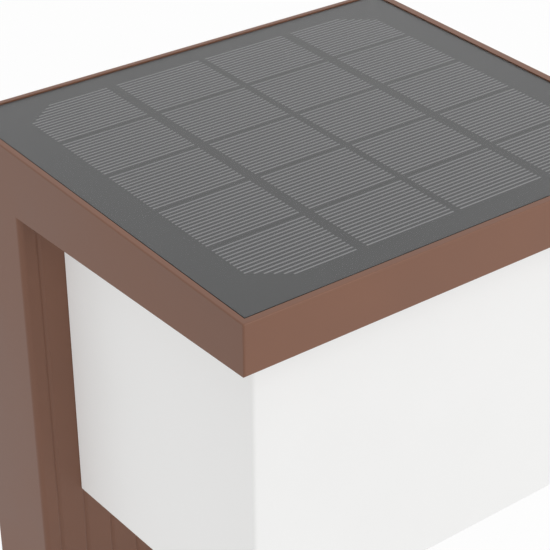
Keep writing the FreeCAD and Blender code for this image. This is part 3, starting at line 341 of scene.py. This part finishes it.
# %% Circuit boards
def lacquered_board(name, lacquer, track):
    finish = Finish(name)
    in_plane = {0: finish.axis("X"), 1: finish.axis("Y") + finish.axis("Z")}
    across = finish.node("ShaderNodeCombineXYZ", values=in_plane)
    tracks = finish.node(
        "ShaderNodeTexBrick", {"offset": 0.35, "squash": 1.6, "squash_frequency": 3},
        {"Vector": across, "Scale": 1.0, "Brick Width": 3.4 * MM, "Row Height": 1.7 * MM,
         "Mortar Size": 0.22 * MM, "Mortar Smooth": 0.1}, output="Fac")
    gate = finish.step(finish.noise(7 * MM, detail=1.0), 0.42, 0.50)
    weave = finish.noise(0.35 * MM, detail=2.0)
    shown = tracks * gate
    colour = finish.mix(0.8 * shown + 0.2 * weave, lacquer, track)
    edges = finish.bump(shown, 0.03 * MM, 0.6)
    return finish.surface(colour, 0.30 + 0.10 * weave, edges, coat_weight=0.3)


BOARDS = {
    "circuit_board": ((0.010, 0.110, 0.045), (0.040, 0.230, 0.100)),
    "panel_board": ((0.060, 0.100, 0.050), (0.110, 0.160, 0.080)),
    "aluminium_board": ((0.78, 0.78, 0.76), (0.86, 0.86, 0.85)),
}
for board, (lacquer, track) in BOARDS.items():
    FINISHES[board] = lacquered_board(board, lacquer, track)


# %% Battery film, light sources and wire sleeves
def cell_wrap():
    finish = Finish("cell_wrap")
    shrink = finish.noise(1.0, detail=3.0, place=finish.stretched(9 * MM, 1.5 * MM, 1.5 * MM))
    colour = finish.mix(shrink, (0.008, 0.060, 0.240), (0.014, 0.090, 0.330))
    creases = finish.bump(shrink, 0.03 * MM, 0.5)
    return finish.surface(colour, 0.24 + 0.10 * shrink, creases, coat_weight=0.4)


def light_source():
    finish = Finish("light_source")
    powder = finish.noise(0.12 * MM, detail=3.0)
    colour = finish.mix(powder, (0.74, 0.50, 0.08), (0.86, 0.66, 0.20))
    grains = finish.bump(powder, 0.01 * MM, 0.5)
    return finish.surface(colour, 0.35 + 0.2 * powder, grains, coat_weight=0.6)


ALL_BLACK = 1.0


def wire_sleeve(name, split):
    """A pair of wires: red on the side where X is above the split, black on the other.

    No wire reaches as far as 1 m, so a split there leaves both black.
    """
    finish = Finish(name)
    ripple = finish.noise(1.2 * MM, detail=2.0)
    side = finish.step(finish.axis("X"), split - 0.01 * MM, split + 0.01 * MM)
    colour = finish.mix(side, (0.014, 0.014, 0.015), (0.42, 0.016, 0.012))
    return finish.surface(colour, 0.36 + 0.14 * ripple, finish.bump(ripple, 0.02 * MM, 0.4))


FINISHES["cell_wrap"] = cell_wrap()
FINISHES["light_source"] = light_source()
FINISHES["wire_sleeve"] = wire_sleeve("wire_sleeve", ALL_BLACK)
print("finishes:", len(FINISHES))

# %% [markdown]
# ## Dressing the solids
#
# Each solid names a material slot in the record, and the finish of that name takes the place of its
# plain colour. Three pairs of wires run side by side along X, so one wire of each can be red. The
# battery's wires are split where the panel's are, since both pairs end at the control board there.

# %% Put the finishes on
slot_of = {part["node"]: part["material_slot"] for part in frame["record"]["subparts"]}
for node, solid in frame["nodes"].items():
    finish = FINISHES[slot_of[node]]
    if node in ("panel_leads", "led_leads"):
        low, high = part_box(node)
        finish = wire_sleeve(node + "_sleeve", (low.x + high.x) / 2)
    if node == "battery_leads":
        split = (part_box("panel_leads")[0].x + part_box("panel_leads")[1].x) / 2
        finish = wire_sleeve(node + "_sleeve", split)
    solid.data.materials.clear()
    solid.data.materials.append(finish)
print("dressed:", len(slot_of), "solids")

# %% [markdown]
# ## Surfaces from numbers
#
# The pieces that follow are too fine for the solids. Each is worked out as a whole array of points at
# once. One helper turns a grid of points into faces, and another puts mesh, finish, slot and moving body
# together. Both pieces are made of flat faces, so neither is shaded smooth.

# %% Helpers for new pieces
def grid_faces(rows, columns):
    """Quads between neighbouring rows of a tube-like grid whose last column meets its first."""
    row, column = np.meshgrid(np.arange(rows - 1), np.arange(columns), indexing="ij")
    here, beside = row * columns + column, row * columns + (column + 1) % columns
    return np.stack([here, beside, beside + columns, here + columns], axis=-1).reshape(-1, 4)


def new_piece(name, points, faces, finish):
    mesh = bpy.data.meshes.new(name)
    mesh.from_pydata(points.tolist(), [], [list(face) for face in faces])
    mesh.polygons.foreach_set("use_smooth", np.zeros(len(mesh.polygons), dtype=bool))
    mesh.materials.append(finish)
    piece = bpy.data.objects.new(name, mesh)
    bpy.context.scene.collection.objects.link(piece)
    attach(piece, "lamp")
    print(f"{name}: {len(points)} points, {len(faces)} faces")
    return piece


# %% [markdown]
# ## The clear film over the cells
#
# A clear film of 0.3 mm lies on the cells, and its solid touches them. Two surfaces in one place
# confuse the renderer: a ray that passes through the first may miss the second, and dark patches
# appear. So a film that hovers a hair above the cells takes the solid's place. Its outline is a
# rectangle with small round corners, and its profile goes up the edge and round it onto the top.

# %% Places on the panel's slope
ACROSS = np.array([1.0, 0.0, 0.0])


def slope_of(node, thick):
    """Where a flat tilted piece lies: middle of its upper front edge, ways up and off the slope, length.

    The piece's box is as deep as its length times the cosine of the tilt plus its thickness times the
    sine, and as high as its length times the sine plus its thickness times the cosine.
    """
    low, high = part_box(node)
    tilt = math.atan2(high.z - low.z - thick, high.y - low.y)
    edge = np.array([(low.x + high.x) / 2, low.y, low.z + thick * math.cos(tilt)])
    up_slope = np.array([0.0, math.cos(tilt), math.sin(tilt)])
    off_slope = np.array([0.0, -math.sin(tilt), math.cos(tilt)])
    length = (high.y - low.y - thick * math.sin(tilt)) / math.cos(tilt)
    print(f"{node}: {math.degrees(tilt):.2f} degrees, {length / MM:.2f} mm up the slope")
    return edge, up_slope, off_slope, length


# %% The film
FILM_THICK = 0.3 * MM
HOVER = 0.05 * MM
EASE = 0.06 * MM
CORNER = 0.5 * MM


def film_surface(half_width, length):
    """Rings round a thin plate, as places across, up the slope and off it.

    A ring is four quarter circles about the middles of the corners. Its circles' radius is the corner's
    radius less the ring's inset. The rings rise from the underside to the edge's upper end, and there
    a quarter of a small circle leads onto the top.
    """
    bend = np.linspace(0, np.pi / 2, 5)
    inset = np.concatenate([[EASE, 0], EASE * (1 - np.cos(bend))])
    under = HOVER - FILM_THICK
    level = np.concatenate([[under, under + EASE], EASE * (np.sin(bend) - 1)])
    turn_by = np.linspace(0, np.pi / 2, 7)
    angle = (np.arange(4)[:, None] * np.pi / 2 + turn_by).ravel()
    circle_x = np.repeat([1, -1, -1, 1], len(turn_by)) * (half_width - CORNER)
    circle_y = length / 2 + np.repeat([1, 1, -1, -1], len(turn_by)) * (length / 2 - CORNER)
    radius = CORNER - inset[:, None]
    across = circle_x + radius * np.cos(angle)
    along = circle_y + radius * np.sin(angle)
    return across, along, np.broadcast_to(level[:, None], across.shape)


edge, up_slope, off_slope, length = slope_of("solar_cover", FILM_THICK)
cover_low, cover_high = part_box("solar_cover")
across, along, level = film_surface((cover_high.x - cover_low.x) / 2, length)
film_points = (edge + across[..., None] * ACROSS + along[..., None] * up_slope
               + level[..., None] * off_slope).reshape(-1, 3)
rings, around = across.shape
film_faces = grid_faces(rings, around).tolist()
film_faces += [list(range(around))[::-1], list(range((rings - 1) * around, rings * around))]
film = new_piece("clear_film", film_points, film_faces, FINISHES["clear_sheet"])
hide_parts("solar_cover")

# %% [markdown]
# ## The fingers of the cells
#
# Pale metal lines, called fingers, collect the current of each cell. There are 15 on every cell, they
# run from side to side, and the cut corners shorten those they meet. They could be a striped material,
# but stripes blur at a distance, and real fingers stand proud of the cell. So each is a thin flat bar,
# and the places of all the bars are worked out together.

# %% Finger bars over the sloping cells
FINGERS = 15
FINGER_PITCH = 1.39 * MM
FINGER_WIDTH = 0.46 * MM
FINGER_HEIGHT = 0.03 * MM
ROWS = 5
ROW_PITCH = 22.05 * MM
CELL_DEPTH = 20.4 * MM
CELL_LENGTH = 28.4 * MM
CELL_THICK = 0.25 * MM
MIDDLE_GAP = 2.2 * MM
SIDE_GAP = 3.2 * MM
CUT_LENGTH = 10 * MM
CUT_DEPTH = 7.4 * MM


def finger_bars():
    """Ends and distance up the slope of every bar.

    A bar's distance is its row's start plus its number times the pitch. On an outer cell of the first
    or last row, a bar nearer to the edge than the cut is deep loses a share of the cut's length: one
    minus its distance from the edge over the cut's depth.
    """
    inner = MIDDLE_GAP / 2
    outer = inner + CELL_LENGTH + SIDE_GAP
    lefts = np.array([-outer - CELL_LENGTH, -inner - CELL_LENGTH, inner, outer])
    left, row, finger = np.meshgrid(lefts, np.arange(ROWS), np.arange(FINGERS), indexing="ij")
    in_cell = (CELL_DEPTH - (FINGERS - 1) * FINGER_PITCH) / 2 + finger * FINGER_PITCH
    along = row * ROW_PITCH + in_cell
    field = (ROWS - 1) * ROW_PITCH + CELL_DEPTH
    to_edge = np.minimum(along, field - along)
    lost = CUT_LENGTH * np.clip(1 - to_edge / CUT_DEPTH, 0, 1)
    start = left + lost * (left == lefts[0])
    end = left + CELL_LENGTH - lost * (left == lefts[-1])
    return start.ravel(), end.ravel(), along.ravel()


edge, up_slope, off_slope, _ = slope_of("solar_cells", CELL_THICK)
start, end, along = finger_bars()
# a bar's eight corners: along it as a share of its length, across it and up in metres
corner_x = np.array([0, 1, 1, 0, 0, 1, 1, 0])
corner_y = np.array([-1, -1, 1, 1, -1, -1, 1, 1]) * FINGER_WIDTH / 2
corner_z = np.array([0, 0, 0, 0, 1, 1, 1, 1]) * FINGER_HEIGHT
x = start[:, None] + (end - start)[:, None] * corner_x
y = along[:, None] + corner_y
bar_points = (edge + x[..., None] * ACROSS + y[..., None] * up_slope
              + corner_z[:, None] * off_slope).reshape(-1, 3)
one_bar = np.array([[0, 3, 2, 1], [4, 5, 6, 7], [0, 1, 5, 4], [1, 2, 6, 5], [2, 3, 7, 6], [3, 0, 4, 7]])
first_point = np.arange(len(start)) * len(corner_x)
bar_faces = (one_bar + first_point[:, None, None]).reshape(-1, 4)


def printed_silver():
    finish = Finish("printed_silver")
    paste = finish.noise(0.15 * MM, detail=2.0)
    colour = finish.mix(paste, (0.195, 0.197, 0.200), (0.245, 0.247, 0.250))
    return finish.surface(colour, 0.46 + 0.1 * paste, **SOFT_GLOSS)


new_piece("cell_fingers", bar_points, bar_faces, printed_silver())

# %% [markdown]
# ## The studio
#
# The photograph has soft light from all round, a little stronger from the front, and a pure white
# background. A white world gives the soft light, and one large lamp in front makes the front brighter
# than the side. The world is shown at full white to the camera and to reflections but lights the lamp
# with about two thirds of that, so the background is white without washing out the plastic.

# %% World: white to look at, softer as a light
WORLD_LIGHT = 0.69


def seen_share(tree):
    """1 for rays from the camera, from a mirror or through glass, and 0 for all others."""
    path = tree.nodes.new("ShaderNodeLightPath")
    share = path.outputs["Is Camera Ray"]
    for name in ("Is Glossy Ray", "Is Transmission Ray"):
        larger = tree.nodes.new("ShaderNodeMath")
        larger.operation = "MAXIMUM"
        tree.links.new(share, larger.inputs[0])
        tree.links.new(path.outputs[name], larger.inputs[1])
        share = larger.outputs[0]
    return share


world = bpy.data.worlds.new("studio")
bpy.context.scene.world = world
world.use_nodes = True
tree = world.node_tree
tree.nodes.clear()
shown = tree.nodes.new("ShaderNodeBackground")
light = tree.nodes.new("ShaderNodeBackground")
shown.inputs["Color"].default_value = (1, 1, 1, 1)
shown.inputs["Strength"].default_value = 1.0
light.inputs["Color"].default_value = (1, 1, 1, 1)
light.inputs["Strength"].default_value = WORLD_LIGHT
either = tree.nodes.new("ShaderNodeMixShader")
world_end = tree.nodes.new("ShaderNodeOutputWorld")
tree.links.new(seen_share(tree), either.inputs[0])
tree.links.new(light.outputs[0], either.inputs[1])
tree.links.new(shown.outputs[0], either.inputs[2])
tree.links.new(either.outputs[0], world_end.inputs["Surface"])
print("world: lights at", WORLD_LIGHT, "of what the camera sees")


# %% Floor: pale, white where no shadow falls, and open from below
FLOOR_SIZE = 6.0
FLOOR_GAP = 0.1 * MM
WHITE_SHARE = 0.94


def floor_finish():
    finish = Finish("floor")
    cloud = finish.noise(0.4, detail=3.0)
    pale = finish.mix(cloud, (0.90, 0.90, 0.90), (0.93, 0.93, 0.93))
    matt = finish.node("ShaderNodeBsdfDiffuse", values={"Color": pale})
    white = finish.node("ShaderNodeEmission", values={"Color": (1, 1, 1, 1), "Strength": 1.0})
    clear = finish.node("ShaderNodeBsdfTransparent")
    seen = Wire(finish, seen_share(finish.tree))
    lit = finish.node("ShaderNodeMixShader", values={0: WHITE_SHARE * seen, 1: matt, 2: white})
    below = finish.node("ShaderNodeNewGeometry", output="Backfacing")
    whole = finish.node("ShaderNodeMixShader", values={0: below, 1: lit, 2: clear})
    end = finish.tree.nodes.new("ShaderNodeOutputMaterial")
    finish.tree.links.new(whole.socket, end.inputs["Surface"])
    return finish.material


reach = FLOOR_SIZE / 2
floor_level = cad_box[0].z - FLOOR_GAP
floor_corners = [(x_sign * reach, y_sign * reach, floor_level)
                 for x_sign, y_sign in ((-1, -1), (1, -1), (1, 1), (-1, 1))]
floor_mesh = bpy.data.meshes.new("floor")
floor_mesh.from_pydata(floor_corners, [], [(0, 1, 2, 3)])
floor_mesh.materials.append(floor_finish())
floor = bpy.data.objects.new("floor", floor_mesh)
bpy.context.scene.collection.objects.link(floor)
print("floor:", FLOOR_SIZE, "m wide at a height of", round(floor_level, 4), "m")

# %% One large soft lamp
LAMP_PLACE = Vector((0.5, -1.5, 1.0))
LAMP_SIZE = 1.0
LAMP_WATTS = 10.5
LIT_POINT = Vector((0, -0.07, 0))

lamp = bpy.data.objects.new("front_lamp", bpy.data.lights.new("front_lamp", "AREA"))
lamp.data.size = LAMP_SIZE
lamp.data.energy = LAMP_WATTS
lamp.location = LAMP_PLACE
lamp.rotation_mode = "QUATERNION"
lamp.rotation_quaternion = (LAMP_PLACE - LIT_POINT).to_track_quat("Z", "Y")
bpy.context.scene.collection.objects.link(lamp)
bpy.context.scene.view_settings.view_transform = "Standard"
print("lamp:", LAMP_WATTS, "W from", tuple(LAMP_PLACE))

# %% Size of the solids
print("box of the solids:", [round(value, 4) for value in (*cad_box[0], *cad_box[1])])
